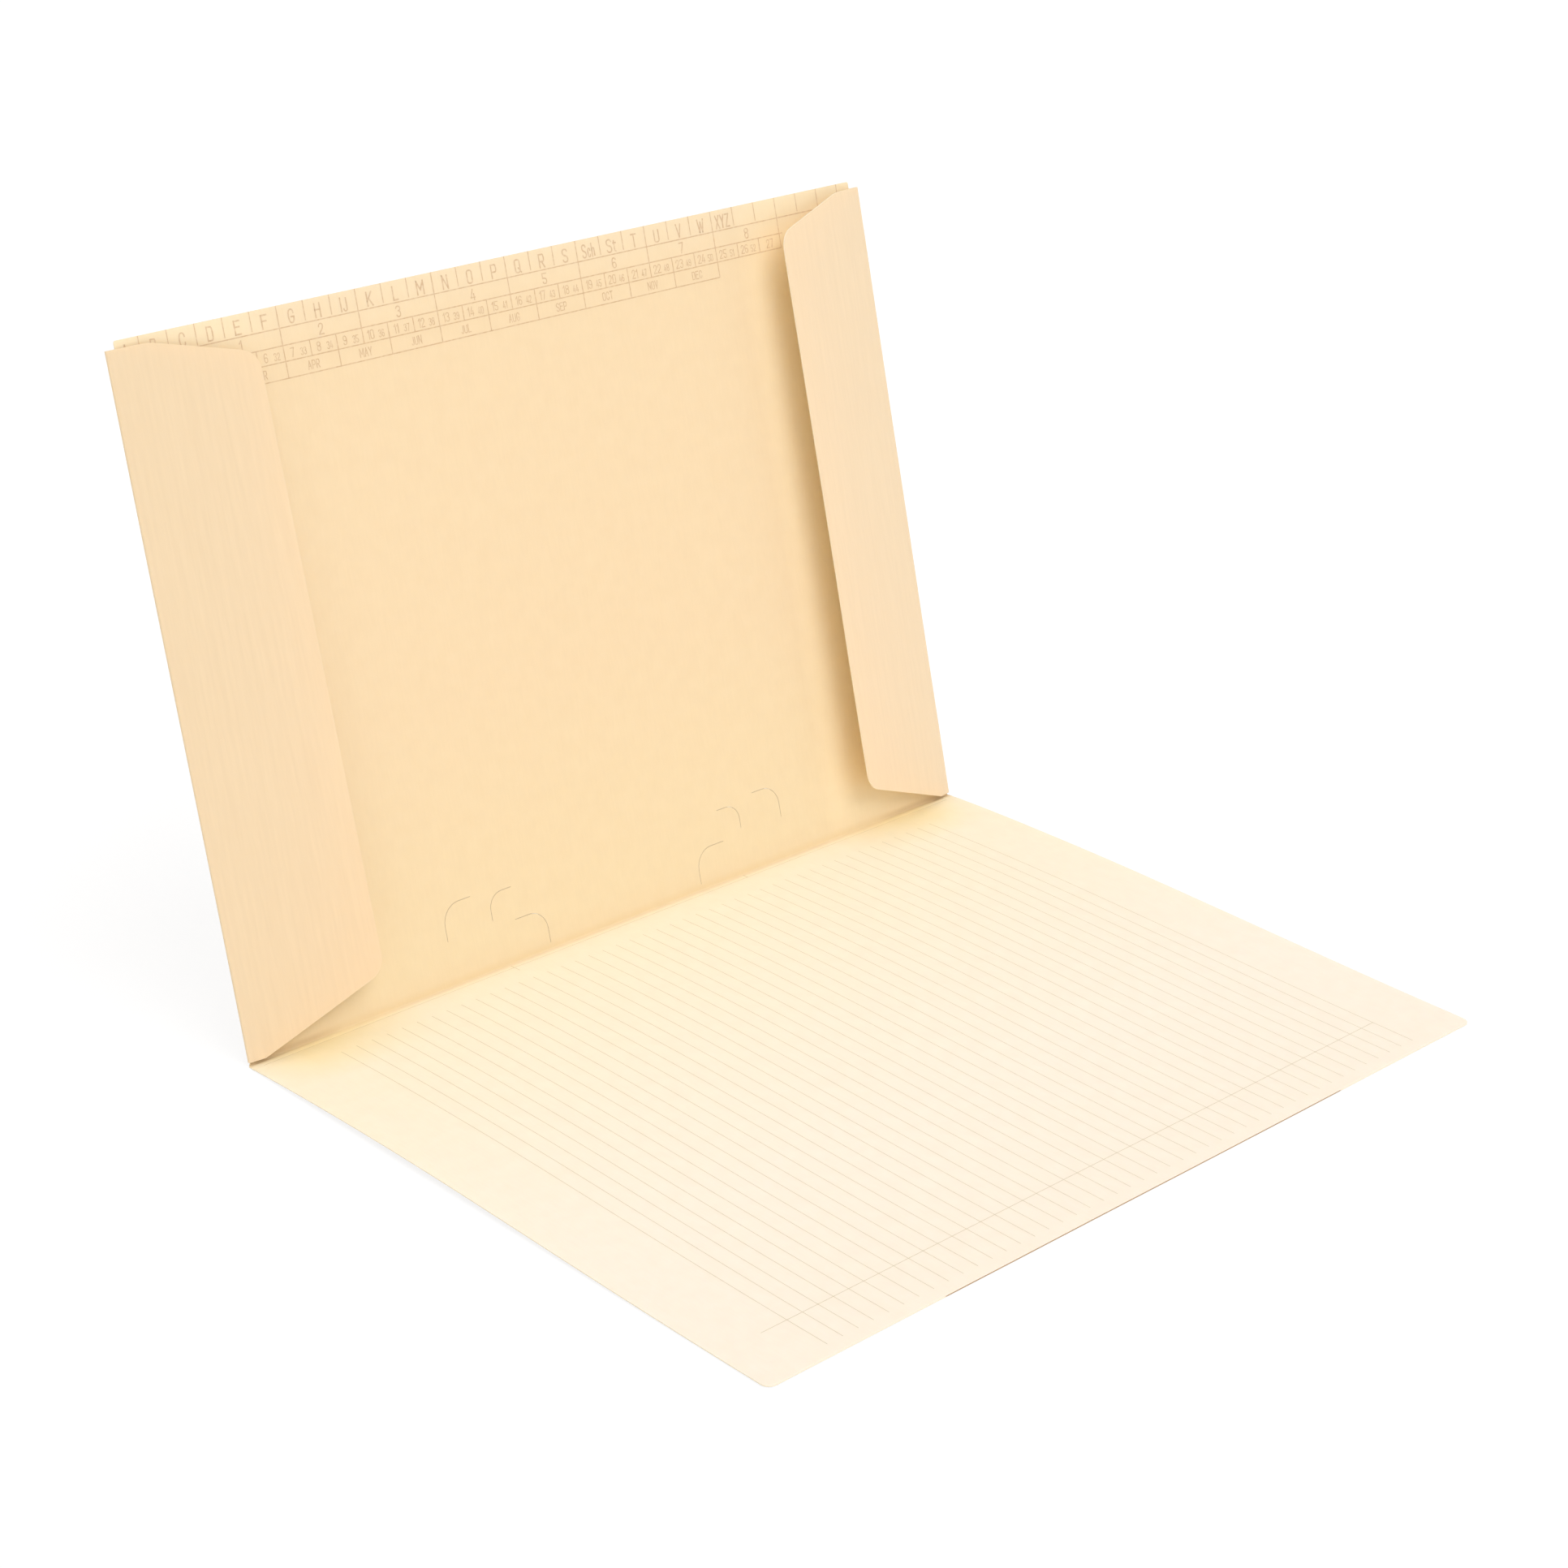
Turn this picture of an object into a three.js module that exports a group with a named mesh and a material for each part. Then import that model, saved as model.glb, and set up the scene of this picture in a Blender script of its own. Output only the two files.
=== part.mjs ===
// Organizer folder: one die-cut sheet of manila card, creased and folded.
//
// The sheet is drawn flat first, as the die cuts it: X runs along the main fold, Y runs across it, the cover
// lies at negative Y and the back panel at positive Y, and a flap hangs on each side of the back panel.
// Each flat point is then carried along the folded section, and the two faces of the card are laid half a
// thickness to either side of it. Millimetres, degrees, Z up. The cover lies on Z = 0.
import * as THREE from "three";

// Card
const CARD_THICKNESS = 0.4;

// Cover
const FOLDER_WIDTH = 320; // over the two side folds, and the width of the cover
const COVER_DEPTH = 239; // main fold to front edge
const COVER_CORNER_RADIUS = 3;
const COVER_ARCH = 1.9; // how far the cover springs up off the table behind its front edge
const COVER_FLAT_STRIP = 18; // the part along the front edge that lies flat on the table

// Main fold and the second crease, which lets the folder take a thicker filling
const OPENING_ANGLE = 105.2; // between the table and the back panel, seen from the cover's side
const MAIN_FOLD_RADIUS = 0.7; // on the inside of the bend
const SECOND_CREASE_OFFSET = 3;
const SECOND_CREASE_WIDTH = 1.2;
const SECOND_CREASE_DEPTH = 0.12;

// Back panel with its index tab
const SIDE_FOLD_HEIGHT = 228.3; // main fold to the top of the flaps, along the panel
const TAB_RISE = 2.5; // how far the tab stands above the flaps
const TAB_INSET = 4; // from each side fold
const TAB_CORNER_RADIUS = 0.8;

// Side flaps
const SIDE_FOLD_RADIUS = 0.4; // on the inside of the bend
const FLAP_WIDTH = 51.5; // side fold to free edge
const FLAP_BASE = 1.3; // main fold to the flap's lower edge, along the panel
const FLAP_TOP_SHOULDER = 15; // the square-cut stretch beside the side fold
const FLAP_FOOT_SHOULDER = 6;
const FLAP_TOP_DROP = 9.6; // how far the upper chamfer comes down
const FLAP_FOOT_LIFT = 16; // how far the lower chamfer goes up
const FLAP_CORNER_RADIUS = 7;
const FLAP_SHOULDER_RADIUS = 12;
const LEFT_FLAP_ANGLE = { top: 4.2, foot: 11 }; // how far the flap stands off the back panel
const RIGHT_FLAP_ANGLE = { top: 12.4, foot: 12.9 };

// Die-cut corner slits, given for the right-hand group and mirrored for the left-hand one. A slit is a
// round corner with two straight legs: side and crown are the lines its legs lie on, and foot and tail are
// where they end. Heights are from the main fold, sideways places from the middle of the folder.
const SLIT_WIDTH = 0.35;
const CORNER_SLITS = [
  { side: 76.2, foot: 15.4, crown: 27.6, tail: 64.2, radius: 7 },
  { side: 56.8, foot: 16.8, crown: 25.9, tail: 47, radius: 5.6 },
  { side: 34.6, foot: 2.4, crown: 14.5, tail: 47.6, radius: 7 },
];

// Facets
const ARCH_STEPS = 22;
const FOLD_STEPS = 8;
const QUARTER_TURN_STEPS = 7;
const FLAP_ROW_SPACING = 14; // between the rows that let a flap wind from its foot to its top

const MANILA = 0xfbdcae;

// Sizes that follow from the ones above
const halfCard = CARD_THICKNESS / 2;
const halfWidth = FOLDER_WIDTH / 2;
const archLength = COVER_DEPTH - COVER_FLAT_STRIP;
const archScale = (COVER_ARCH * 27) / 4; // the bare curve s(1 - s)^2 crests at 4/27
const archRootSlope = Math.atan(archScale / archLength);
const panelSlope = THREE.MathUtils.degToRad(180 - OPENING_ANGLE);
const mainFoldTurn = panelSlope + archRootSlope;
const mainFoldMiddle = MAIN_FOLD_RADIUS + halfCard; // radius at mid-thickness
const mainFoldSetback = mainFoldMiddle * Math.tan(mainFoldTurn / 2);
const mainFoldLength = mainFoldMiddle * mainFoldTurn;
const sideFoldMiddle = SIDE_FOLD_RADIUS + halfCard;
const sideFoldReach = SIDE_FOLD_RADIUS + CARD_THICKNESS; // how far the turned card sticks out
const sideFoldStart = halfWidth - sideFoldReach; // where the panel begins to turn into a flap
const tabTop = SIDE_FOLD_HEIGHT + TAB_RISE;

// Flat Y of a place that lies so far from the main fold's edge, up the panel or out along the cover.
const upPanel = (height) => height - mainFoldSetback + mainFoldLength / 2;
const outCover = (distance) => -(distance - mainFoldSetback + mainFoldLength / 2);

// Height of the cover's underside above the table, at a distance from the main fold: a spring-up that is
// steep at the fold and dies out at the flat strip, less the valley of the second crease.
function coverLift(distance) {
  const along = Math.min(distance / archLength, 1);
  const arch = archScale * along * (1 - along) ** 2;
  const offCrease = Math.abs(distance - SECOND_CREASE_OFFSET) / (SECOND_CREASE_WIDTH / 2);
  return arch - SECOND_CREASE_DEPTH * Math.max(0, 1 - offCrease);
}

// The folded section at mid-thickness: place, direction of travel up the sheet, and the face that is inside
// when the folder is closed. Y is away from the cover, Z is up.
function section(flatY) {
  const half = mainFoldLength / 2;
  const foldStart = { y: -mainFoldSetback, z: halfCard };
  if (flatY < -half) {
    const distance = -half - flatY;
    const step = 0.01;
    const slope = (coverLift(distance + step) - coverLift(Math.max(distance - step, 0))) / (2 * step);
    return { y: foldStart.y - distance, z: halfCard + coverLift(distance), angle: -Math.atan(slope) };
  }
  const travelled = Math.min(flatY, half) + half;
  const angle = -archRootSlope + travelled / mainFoldMiddle;
  const y = foldStart.y + mainFoldMiddle * (Math.sin(angle) + Math.sin(archRootSlope));
  const z = foldStart.z + mainFoldMiddle * (Math.cos(archRootSlope) - Math.cos(angle));
  const beyond = Math.max(flatY - half, 0);
  return { y: y + beyond * Math.cos(angle), z: z + beyond * Math.sin(angle), angle };
}

// How far a flap has been turned about its side fold, at a flat Y.
function flapTurn(side, flatY) {
  const angle = side < 0 ? LEFT_FLAP_ANGLE : RIGHT_FLAP_ANGLE;
  const share = (flatY - upPanel(FLAP_BASE)) / (upPanel(SIDE_FOLD_HEIGHT) - upPanel(FLAP_BASE));
  return THREE.MathUtils.degToRad(180 - THREE.MathUtils.lerp(angle.foot, angle.top, share));
}

// Carries a flat point into the folded sheet. level is -1 on the outer face and 1 on the inner face.
function fold(flat, level) {
  const at = section(flat.y);
  const inward = new THREE.Vector3(0, -Math.sin(at.angle), Math.cos(at.angle));
  const side = Math.sign(flat.x);
  const beyond = Math.abs(flat.x) - sideFoldStart;
  if (beyond <= 0 || flat.y < upPanel(FLAP_BASE) - 1e-6)
    return new THREE.Vector3(flat.x, at.y, at.z).addScaledVector(inward, level * halfCard);
  const turn = Math.min(beyond / sideFoldMiddle, flapTurn(side, flat.y));
  const straight = beyond - turn * sideFoldMiddle;
  const bend = sideFoldMiddle - level * halfCard; // radius of this face in the fold
  const out = bend * Math.sin(turn) + straight * Math.cos(turn);
  const lift = sideFoldMiddle - bend * Math.cos(turn) + straight * Math.sin(turn);
  return new THREE.Vector3(side * (sideFoldStart + out), at.y, at.z).addScaledVector(inward, lift);
}

// A path of straight lines through corners, each corner { x, y, radius } rounded where it has a radius.
function roundedPath(corners) {
  const points = [];
  corners.forEach((corner, i) => {
    const here = new THREE.Vector2(corner.x, corner.y);
    const before = corners[i - 1];
    const after = corners[i + 1];
    if (!corner.radius || !before || !after) return points.push(here);
    const back = new THREE.Vector2(before.x, before.y).sub(here).normalize();
    const ahead = new THREE.Vector2(after.x, after.y).sub(here).normalize();
    const halfCorner = Math.acos(back.dot(ahead)) / 2;
    const tangent = corner.radius / Math.tan(halfCorner);
    const centre = back.clone().add(ahead).setLength(corner.radius / Math.sin(halfCorner)).add(here);
    const from = here.clone().addScaledVector(back, tangent);
    const sweep = (Math.PI - 2 * halfCorner) * Math.sign(ahead.cross(back));
    const steps = Math.ceil((QUARTER_TURN_STEPS * Math.abs(sweep)) / (Math.PI / 2));
    for (let k = 0; k <= steps; k++) points.push(from.clone().rotateAround(centre, (sweep * k) / steps));
  });
  return points;
}

// The flat sheet: welded points, and triangles that all turn the same way, seen from the inner face.
class Sheet {
  points = [];
  triangles = [];
  #known = new Map();

  point({ x, y }) {
    const key = `${x.toFixed(5)} ${y.toFixed(5)}`;
    if (!this.#known.has(key)) this.#known.set(key, this.points.push(new THREE.Vector2(x, y)) - 1);
    return this.#known.get(key);
  }

  triangle(a, b, c) {
    const corners = [this.point(a), this.point(b), this.point(c)];
    if (new Set(corners).size < 3) return;
    const [p, q, r] = corners.map((i) => this.points[i]);
    const area = (q.x - p.x) * (r.y - p.y) - (q.y - p.y) * (r.x - p.x);
    this.triangles.push(area > 0 ? corners : corners.reverse());
  }

  // Rows of points with as many in each, joined in order.
  rows(rows) {
    for (let i = 1; i < rows.length; i++)
      for (let k = 1; k < rows[i].length; k++) {
        this.triangle(rows[i - 1][k - 1], rows[i - 1][k], rows[i][k]);
        this.triangle(rows[i - 1][k - 1], rows[i][k], rows[i][k - 1]);
      }
  }

  // A fan from one point to a line of points.
  fan(apex, line) {
    for (let i = 1; i < line.length; i++) this.triangle(apex, line[i - 1], line[i]);
  }

  // An outline with holes. No three points in a row may lie on one line, because the middle one is dropped.
  outline(edge, holes) {
    const all = [...edge, ...holes.flat()];
    for (const [a, b, c] of THREE.ShapeUtils.triangulateShape(edge, holes)) {
      this.triangle(all[a], all[b], all[c]);
    }
  }

  // The card: both faces of the folded sheet, and a wall along every edge that only one triangle has.
  card() {
    const count = this.points.length;
    const vertices = [1, -1].flatMap((level) => this.points.map((flat) => fold(flat, level)));
    const edges = new Set(this.triangles.flatMap(([a, b, c]) => [`${a} ${b}`, `${b} ${c}`, `${c} ${a}`]));
    const index = this.triangles.flatMap(([a, b, c]) => [a, b, c, a + count, c + count, b + count]);
    for (const edge of edges) {
      const [a, b] = edge.split(" ").map(Number);
      if (!edges.has(`${b} ${a}`)) index.push(a, a + count, b + count, a, b + count, b);
    }
    const geometry = new THREE.BufferGeometry().setFromPoints(vertices).setIndex(index);
    geometry.computeVertexNormals();
    return geometry;
  }
}

// A row right across the folder, as far as x on each side.
const acrossRow = (x, y) => [-x, 0, x].map((place) => ({ x: place, y }));

// The cover, from its front edge to the main fold, in rows across the folder.
function coverRows() {
  const front = outCover(COVER_DEPTH);
  const corner = roundedPath([
    { x: 0, y: front },
    { x: halfWidth, y: front, radius: COVER_CORNER_RADIUS },
    { x: halfWidth, y: 0 },
  ]).slice(1, -1);
  const halfCrease = SECOND_CREASE_WIDTH / 2;
  const distances = [];
  for (let i = 0; i < ARCH_STEPS; i++) distances.push(archLength * (1 - i / ARCH_STEPS));
  for (const side of [1, 0, -1]) distances.push(SECOND_CREASE_OFFSET + side * halfCrease);
  const straight = distances.map((distance) => ({ x: halfWidth, y: -mainFoldLength / 2 - distance }));
  return [...corner, ...straight].map(({ x, y }) => acrossRow(x, y));
}

// The main fold, narrowing from the cover's width to the lines where the side folds begin.
function mainFoldRows() {
  return Array.from({ length: FOLD_STEPS + 1 }, (_, i) => {
    const x = THREE.MathUtils.lerp(halfWidth, sideFoldStart, i / FOLD_STEPS);
    const y = mainFoldLength * (i / FOLD_STEPS - 0.5);
    return acrossRow(x, y);
  });
}

// The free edge of a flap, from foot to top: x is the distance from the side fold, y is flat.
function flapEdge() {
  const foot = upPanel(FLAP_BASE);
  const top = upPanel(SIDE_FOLD_HEIGHT);
  const edge = roundedPath([
    { x: 0, y: foot },
    { x: FLAP_FOOT_SHOULDER, y: foot },
    { x: FLAP_WIDTH, y: foot + FLAP_FOOT_LIFT, radius: FLAP_CORNER_RADIUS },
    { x: FLAP_WIDTH, y: top - FLAP_TOP_DROP, radius: FLAP_CORNER_RADIUS },
    { x: FLAP_TOP_SHOULDER, y: top, radius: FLAP_SHOULDER_RADIUS },
    { x: 0, y: top },
  ]).slice(1, -1);
  return edge.flatMap((point, i) => {
    const next = edge[i + 1];
    const pieces = next ? Math.ceil((next.y - point.y) / FLAP_ROW_SPACING) || 1 : 1;
    return Array.from({ length: pieces }, (_, k) => (next ? point.clone().lerp(next, k / pieces) : point));
  });
}

// One flap and its side fold, in rows across the fold. The flat length of the turned card differs a little
// from foot to top, because the flap stands further open at its foot.
function flapRows(side) {
  return flapEdge().map(({ x: width, y }) => {
    const bend = flapTurn(side, y) * sideFoldMiddle;
    const row = Array.from({ length: FOLD_STEPS + 1 }, (_, k) => sideFoldStart + (bend * k) / FOLD_STEPS);
    row.push(sideFoldStart + bend + width - sideFoldReach);
    return row.map((x) => ({ x: side * x, y }));
  });
}

// A slit as a closed outline: its line, walked up one side and back down the other.
function slit({ side, foot, crown, tail, radius }) {
  const line = (offset) =>
    roundedPath([
      { x: side + offset * Math.sign(side - tail), y: upPanel(foot) },
      { x: side + offset * Math.sign(side - tail), y: upPanel(crown) + offset, radius: radius + offset },
      { x: tail, y: upPanel(crown) + offset },
    ]);
  return [...line(SLIT_WIDTH / 2), ...line(-SLIT_WIDTH / 2).reverse()];
}

// The right half of the back panel with its tab, mirrored where side is -1. A fan along the side takes in
// the points that it shares with the side fold.
function addHalfPanel(sheet, side) {
  const placed = ({ x, y }) => new THREE.Vector2(side * x, y);
  const foot = mainFoldLength / 2;
  const tabHalf = halfWidth - TAB_INSET;
  const tab = roundedPath([
    { x: tabHalf, y: upPanel(SIDE_FOLD_HEIGHT) },
    { x: tabHalf, y: upPanel(tabTop), radius: TAB_CORNER_RADIUS },
    { x: 0, y: upPanel(tabTop) },
  ]);
  const foldLine = [foot, ...flapEdge().map(({ y }) => y)].map((y) => ({ x: sideFoldStart, y }));
  const apex = { x: sideFoldStart - FLAP_WIDTH, y: upPanel(SIDE_FOLD_HEIGHT / 2) };
  const outline = [{ x: 0, y: foot }, foldLine[0], apex, foldLine.at(-1), ...tab];
  const slits = CORNER_SLITS.map((corner) => slit(corner).map(placed));
  sheet.outline(outline.map(placed), slits);
  sheet.fan(placed(apex), foldLine.map(placed));
}

// The sheet without its flaps: the cover, the main fold and the back panel.
function coverAndPanel() {
  const sheet = new Sheet();
  sheet.rows([...coverRows(), ...mainFoldRows()]);
  for (const side of [-1, 1]) addHalfPanel(sheet, side);
  return sheet.card();
}

// A flap with its side fold, which begins at the panel's cut side.
function flap(side) {
  const sheet = new Sheet();
  sheet.rows(flapRows(side));
  return sheet.card();
}

const manila = new THREE.MeshStandardMaterial({ color: MANILA, roughness: 0.85, metalness: 0 });
const organizerFolder = new THREE.Group();
for (const [name, card] of [
  ["folder_card", coverAndPanel()],
  ["left_flap", flap(-1)],
  ["right_flap", flap(1)],
]) {
  const mesh = new THREE.Mesh(card, manila);
  mesh.name = name;
  organizerFolder.add(mesh);
}

// The folder's origin is the middle of the patch of table that it covers.
const extent = new THREE.Box3().setFromObject(organizerFolder);
const middle = extent.getCenter(new THREE.Vector3());
organizerFolder.children.forEach((mesh) => mesh.position.set(-middle.x, -middle.y, -extent.min.z));

export default organizerFolder;
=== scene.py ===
"""Organizer folder: manila board, die-cut flat, printed, then creased and folded."""

import math
import re

import bmesh
import bpy
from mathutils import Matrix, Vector


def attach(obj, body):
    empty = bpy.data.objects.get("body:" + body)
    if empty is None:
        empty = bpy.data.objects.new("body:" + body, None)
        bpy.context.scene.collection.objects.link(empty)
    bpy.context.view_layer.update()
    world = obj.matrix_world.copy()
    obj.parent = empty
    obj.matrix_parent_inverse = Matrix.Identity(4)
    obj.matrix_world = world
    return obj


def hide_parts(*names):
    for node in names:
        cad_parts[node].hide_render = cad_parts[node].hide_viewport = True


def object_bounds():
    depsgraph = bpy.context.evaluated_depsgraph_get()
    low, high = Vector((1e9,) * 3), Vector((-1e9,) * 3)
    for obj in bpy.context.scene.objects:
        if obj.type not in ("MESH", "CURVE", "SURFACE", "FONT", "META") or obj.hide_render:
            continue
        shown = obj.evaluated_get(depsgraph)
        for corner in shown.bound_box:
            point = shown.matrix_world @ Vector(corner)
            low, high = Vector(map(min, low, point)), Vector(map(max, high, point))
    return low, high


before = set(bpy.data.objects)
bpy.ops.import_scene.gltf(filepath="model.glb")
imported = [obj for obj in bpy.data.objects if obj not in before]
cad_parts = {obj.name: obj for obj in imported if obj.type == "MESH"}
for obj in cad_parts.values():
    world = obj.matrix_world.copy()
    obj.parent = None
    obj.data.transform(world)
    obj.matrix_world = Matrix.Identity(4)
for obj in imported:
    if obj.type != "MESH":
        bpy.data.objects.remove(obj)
cad_low, cad_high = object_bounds()

MM = 0.001

# The board and its blank, in metres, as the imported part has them
BOARD = 0.4 * MM
FOLDER_WIDTH = 320 * MM
COVER_DEPTH = 239 * MM
COVER_CORNER_RADIUS = 3 * MM
COVER_ARCH = 1.9 * MM
COVER_FLAT_STRIP = 18 * MM
OPENING_ANGLE = math.radians(105.2)
MAIN_FOLD_RADIUS = 0.7 * MM
SECOND_CREASE = 3 * MM
SECOND_CREASE_WIDTH = 1.2 * MM
SECOND_CREASE_DEPTH = 0.12 * MM
SIDE_FOLD_HEIGHT = 228.3 * MM
TAB_RISE = 2.5 * MM
TAB_INSET = 4 * MM
TAB_CORNER_RADIUS = 0.8 * MM
SIDE_FOLD_RADIUS = 0.4 * MM
FLAP_WIDTH = 51.5 * MM
FLAP_BASE = 1.3 * MM
FLAP_TOP_SHOULDER = 15 * MM
FLAP_FOOT_SHOULDER = 6 * MM
FLAP_TOP_DROP = 9.6 * MM
FLAP_FOOT_LIFT = 16 * MM
FLAP_CORNER_RADIUS = 7 * MM
FLAP_SHOULDER_RADIUS = 12 * MM
FLAP_STAND = {-1: (11, 4.2), 1: (12.9, 12.4)}  # degrees off the panel, at foot and top
SLIT_WIDTH = 0.1 * MM
SLITS_MM = [  # side, foot, crown, tail and corner radius
    (76.2, 15.4, 27.6, 64.2, 7),
    (56.8, 16.8, 25.9, 47, 5.6),
    (34.6, 2.4, 14.5, 47.6, 7),
]

# How fine the mesh is
FOLD_STEPS = 8
CORNER_STEPS = 8
ROW = 7 * MM  # between two rows of vertices
ROWS_UP = 33  # as many as fit on the cover or the panel
ROWS_ASIDE = 22  # from the middle to a side fold
ROWS_ON_FLAP = 7

# How close an edge or a corner lies to the place that it is picked by
NEAR = 0.1 * MM
SPOT = 0.02 * MM

# Places on the flat blank, which lies on the table with its cover where the cover stays
half_width = FOLDER_WIDTH / 2
tab_half = half_width - TAB_INSET
panel_turn = math.pi - OPENING_ANGLE
fold_middle = MAIN_FOLD_RADIUS + BOARD / 2
setback = fold_middle * math.tan(panel_turn / 2)
front_edge = cad_low.y
fold_edge = front_edge + COVER_DEPTH
fold_start = fold_edge - setback
fold_length = fold_middle * panel_turn
fold_end = fold_start + fold_length
side_middle = SIDE_FOLD_RADIUS + BOARD / 2
side_reach = SIDE_FOLD_RADIUS + BOARD
side_start = half_width - side_reach
side_stand = 10  # degrees: what the folds are turned to before each flap's own stand
side_turn = math.radians(180 - side_stand)
side_end = side_start + side_middle * side_turn
flap_edge = side_end + FLAP_WIDTH - side_reach
panel_top = fold_end + SIDE_FOLD_HEIGHT - setback
flap_foot = fold_end + FLAP_BASE - setback
arch_length = COVER_DEPTH - COVER_FLAT_STRIP


def up_panel(height):
    """Flat Y of a height above the main fold."""
    return fold_end + height - setback


def cover_lift(flat_y):
    """How far the cover stands off the table: its spring-up, less the second crease's valley."""
    along = (fold_edge - flat_y) / arch_length
    if not 0 < along < 1:
        return 0
    off_crease = abs(fold_edge - flat_y - SECOND_CREASE) / (SECOND_CREASE_WIDTH / 2)
    arch = COVER_ARCH * 27 / 4 * along * (1 - along) ** 2
    return arch - SECOND_CREASE_DEPTH * max(0, 1 - off_crease)


# Modelling by hand


def put_down():
    """Leaves edit mode, with nothing selected."""
    if bpy.context.mode != "OBJECT":
        bpy.ops.object.mode_set(mode="OBJECT")
    bpy.ops.object.select_all(action="DESELECT")


def take(*pieces):
    """Leaves just these pieces selected, and the first one active."""
    put_down()
    for piece in pieces:
        piece.select_set(True)
    bpy.context.view_layer.objects.active = pieces[0]
    return pieces[0]


def edit(piece):
    take(piece)
    bpy.ops.object.mode_set(mode="EDIT")
    bpy.ops.mesh.select_mode(type="VERT")


def pick(piece, wanted):
    """Selects the open piece's vertices by number and place, with the faces that they bound."""
    shape = bmesh.from_edit_mesh(piece.data)
    for part in (*shape.faces, *shape.edges):
        part.select = False
    for vertex in shape.verts:
        vertex.select = wanted(vertex.index, vertex.co)
    shape.select_flush(True)
    bmesh.update_edit_mesh(piece.data)


def at(x, y):
    """Picks the flat place x, y."""
    return lambda _, p: max(abs(p.x - x), abs(p.y - y)) < SPOT


def shift(piece, wanted, x=0, y=0, z=0):
    pick(piece, wanted)
    bpy.ops.transform.translate(value=(x, y, z))


def pull_out(piece, wanted, x=0, y=0):
    """Extrudes the picked edge sideways."""
    pick(piece, wanted)
    bpy.ops.mesh.extrude_region_move(TRANSFORM_OT_translate={"value": (x, y, 0)})


def cut(axis, places):
    """Lines right across the open piece, at these x or y places."""
    normal = Vector((axis == "x", axis == "y", 0))
    for place in places:
        bpy.ops.mesh.select_all(action="SELECT")
        bpy.ops.mesh.bisect(plane_co=normal * place, plane_no=normal, threshold=0.002 * MM)


def round_corner(piece, corner, radius, angle=math.pi / 2):
    pick(piece, at(*corner))
    tangent = radius / math.tan(angle / 2)
    bpy.ops.mesh.bevel(
        offset_type="OFFSET", offset=tangent, segments=CORNER_STEPS, affect="VERTICES"
    )


def corner_angle(corner, before, after):
    return (Vector(before) - Vector(corner)).angle(Vector(after) - Vector(corner))


def finish(piece, kind, **settings):
    """Adds one modifier and applies it."""
    take(piece)
    modifier = piece.modifiers.new(kind.lower(), kind)
    for name, value in settings.items():
        setattr(modifier, name, value)
    bpy.ops.object.modifier_apply(modifier=modifier.name)


def join(pieces, name):
    take(*pieces)
    if len(pieces) > 1:
        bpy.ops.object.join()
    pieces[0].name = pieces[0].data.name = name
    return pieces[0]


def rectangle(name, low_x, high_x, low_y, high_y):
    put_down()
    middle = ((low_x + high_x) / 2, (low_y + high_y) / 2, 0)
    bpy.ops.mesh.primitive_plane_add(size=1, location=middle)
    piece = bpy.context.object
    piece.name = piece.data.name = name
    piece.scale = (high_x - low_x, high_y - low_y, 1)
    bpy.ops.object.transform_apply(location=True, rotation=True, scale=True)
    return piece


# The die-cut blank


def cut_panel_and_cover():
    """The panel, with main fold, cover and tab pulled out of its edges."""
    sheet = rectangle("manila_folder", -side_start, side_start, fold_end, panel_top)
    edit(sheet)
    pull_out(sheet, lambda _, p: p.y < fold_end + NEAR, y=-fold_length)
    for side in (-1, 1):
        shift(sheet, at(side * side_start, fold_start), x=side * side_reach)
    pull_out(sheet, lambda _, p: p.y < fold_start + NEAR, y=front_edge - fold_start)
    cut("y", [flap_foot])
    cut("x", [-tab_half, tab_half])
    on_tab = lambda _, p: p.y > panel_top - NEAR and abs(p.x) < tab_half + NEAR
    pull_out(sheet, on_tab, y=TAB_RISE)
    for side in (-1, 1):
        round_corner(sheet, (side * tab_half, panel_top + TAB_RISE), TAB_CORNER_RADIUS)
        round_corner(sheet, (side * half_width, front_edge), COVER_CORNER_RADIUS)
    return sheet


def cut_flap(side):
    """One flap, flat beside the panel: a rectangle with its ends chamfered and rounded."""
    bend_end = side_end - side_reach
    fold = side * side_start
    edge = side * flap_edge
    middle = (fold + edge) / 2
    top_shoulder = (side * (bend_end + FLAP_TOP_SHOULDER), panel_top)
    foot_shoulder = (side * (bend_end + FLAP_FOOT_SHOULDER), flap_foot)
    top_corner = (edge, panel_top - FLAP_TOP_DROP)
    foot_corner = (edge, flap_foot + FLAP_FOOT_LIFT)
    flap = rectangle("flap", min(fold, edge), max(fold, edge), flap_foot, panel_top)
    edit(flap)
    cut("x", [middle])
    shift(flap, at(middle, panel_top), x=top_shoulder[0] - middle)
    shift(flap, at(middle, flap_foot), x=foot_shoulder[0] - middle)
    shift(flap, at(edge, panel_top), y=-FLAP_TOP_DROP)
    shift(flap, at(edge, flap_foot), y=FLAP_FOOT_LIFT)
    ends = (at(*top_shoulder), at(*foot_shoulder))
    pick(flap, lambda i, p: any(end(i, p) for end in ends))
    bpy.ops.mesh.dissolve_edges(use_verts=False)
    corners = [
        (top_shoulder, (fold, panel_top), top_corner, FLAP_SHOULDER_RADIUS),
        (top_corner, top_shoulder, foot_corner, FLAP_CORNER_RADIUS),
        (foot_corner, top_corner, foot_shoulder, FLAP_CORNER_RADIUS),
    ]
    for corner, before, after, radius in corners:
        round_corner(flap, corner, radius, corner_angle(corner, before, after))
    return flap


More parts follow.
